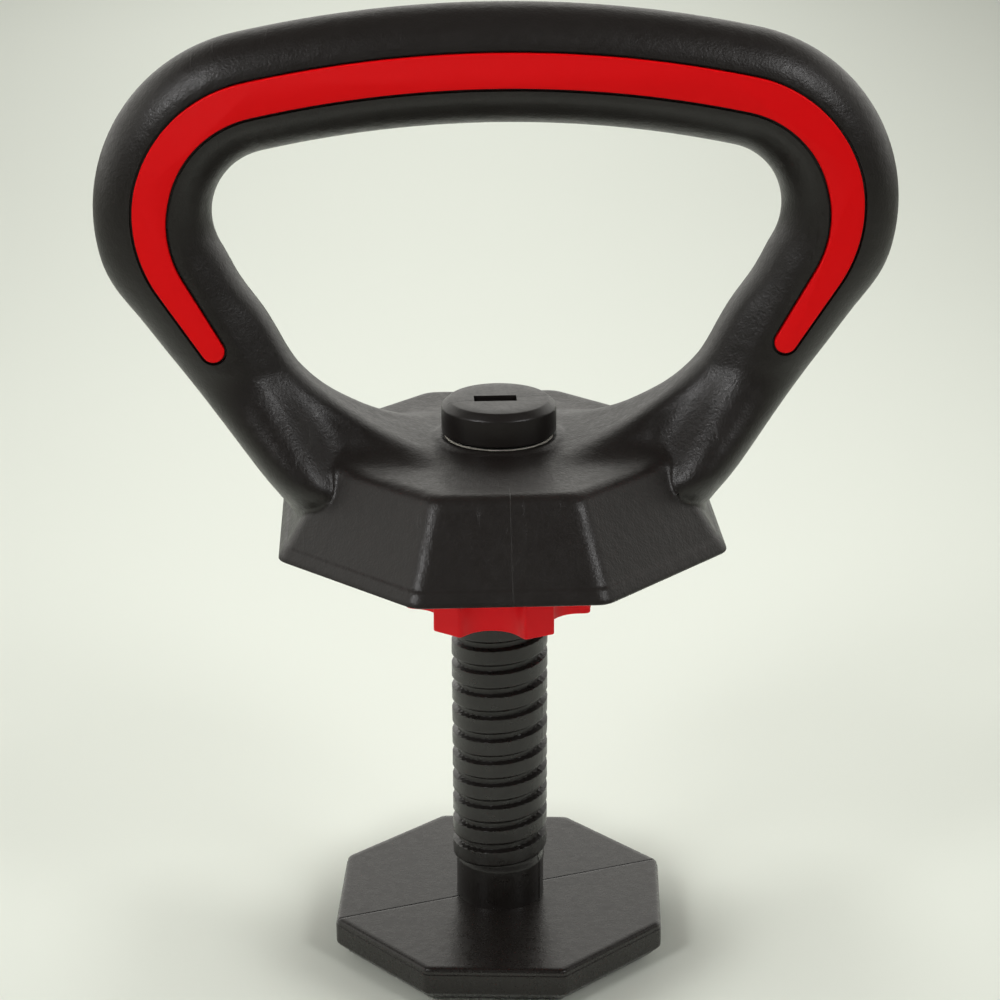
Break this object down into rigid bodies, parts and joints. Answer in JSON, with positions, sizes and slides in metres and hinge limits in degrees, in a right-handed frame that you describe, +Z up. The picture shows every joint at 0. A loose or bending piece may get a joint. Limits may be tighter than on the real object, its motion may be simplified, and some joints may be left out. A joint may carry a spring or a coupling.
{
  "type": "adjustable kettlebell handle",
  "caption": "Kettlebell handle for weight plates: bowed grip on an octagonal flange, threaded post with a star nut, octagonal foot plate and screw-on retaining cap.",
  "frame": {"origin": "on the floor, on the axis of the threaded post", "axes": "+Z up along the post, +X along the grip, +Y to the back"},
  "size_m": [0.2208, 0.1254, 0.2791],
  "materials": {
    "handle_black": "fine-grained matte black moulding",
    "inlay_red": "satin red",
    "post_black": "satin black, oiled look",
    "base_black": "satin black, slightly glossy",
    "nut_red": "satin red",
    "cap_black": "satin black moulding",
    "pad_rubber": "matte rubber",
    "ring_rubber": "matte rubber",
    "steel": "zinc plated",
    "bush_nylon": "natural nylon",
    "brass": "turned brass"
  },
  "bodies": {
    "foot": {"base_plate": "base_black", "foot_pad": "pad_rubber", "threaded_post": "post_black", "tie_rod": "steel", "tie_rod_washer": "steel"},
    "handle": {"handle_shell": "handle_black", "front_inlay": "inlay_red", "rear_inlay": "inlay_red", "lower_bush": "bush_nylon", "upper_bush": "bush_nylon"},
    "clamp_ring": {"nut_ring": "ring_rubber"},
    "clamp_nut": {"star_nut": "nut_red"},
    "retainer_washer": {"cap_washer": "steel"},
    "retainer_cap": {"cap": "cap_black", "cap_insert": "brass"}
  },
  "joints": [
    {"name": "handle_swivel", "type": "hinge", "parent": "foot", "child": "handle", "pos_m": [0, 0, 0.142], "axis": [0, 0, 1], "continuous": true},
    {"name": "nut_travel", "type": "slide", "parent": "foot", "child": "clamp_ring", "axis": [0, 0, 1], "range_m": [-0.0925, 0]},
    {"name": "nut_turn", "type": "hinge", "parent": "clamp_ring", "child": "clamp_nut", "pos_m": [0, 0, 0.105], "axis": [0, 0, 1], "range_deg": [-4626, 1]},
    {"name": "cap_lift", "type": "slide", "parent": "foot", "child": "retainer_washer", "axis": [0, 0, 1], "range_m": [0, 0.006]},
    {"name": "cap_turn", "type": "hinge", "parent": "retainer_washer", "child": "retainer_cap", "pos_m": [0, 0, 0.162], "axis": [0, 0, 1], "range_deg": [-1, 1441]}
  ],
  "couplings": [
    {"joint": "nut_turn", "follows": "nut_travel", "rad_per_m": 872.66},
    {"joint": "cap_turn", "follows": "cap_lift", "rad_per_m": 4188.8}
  ]
}
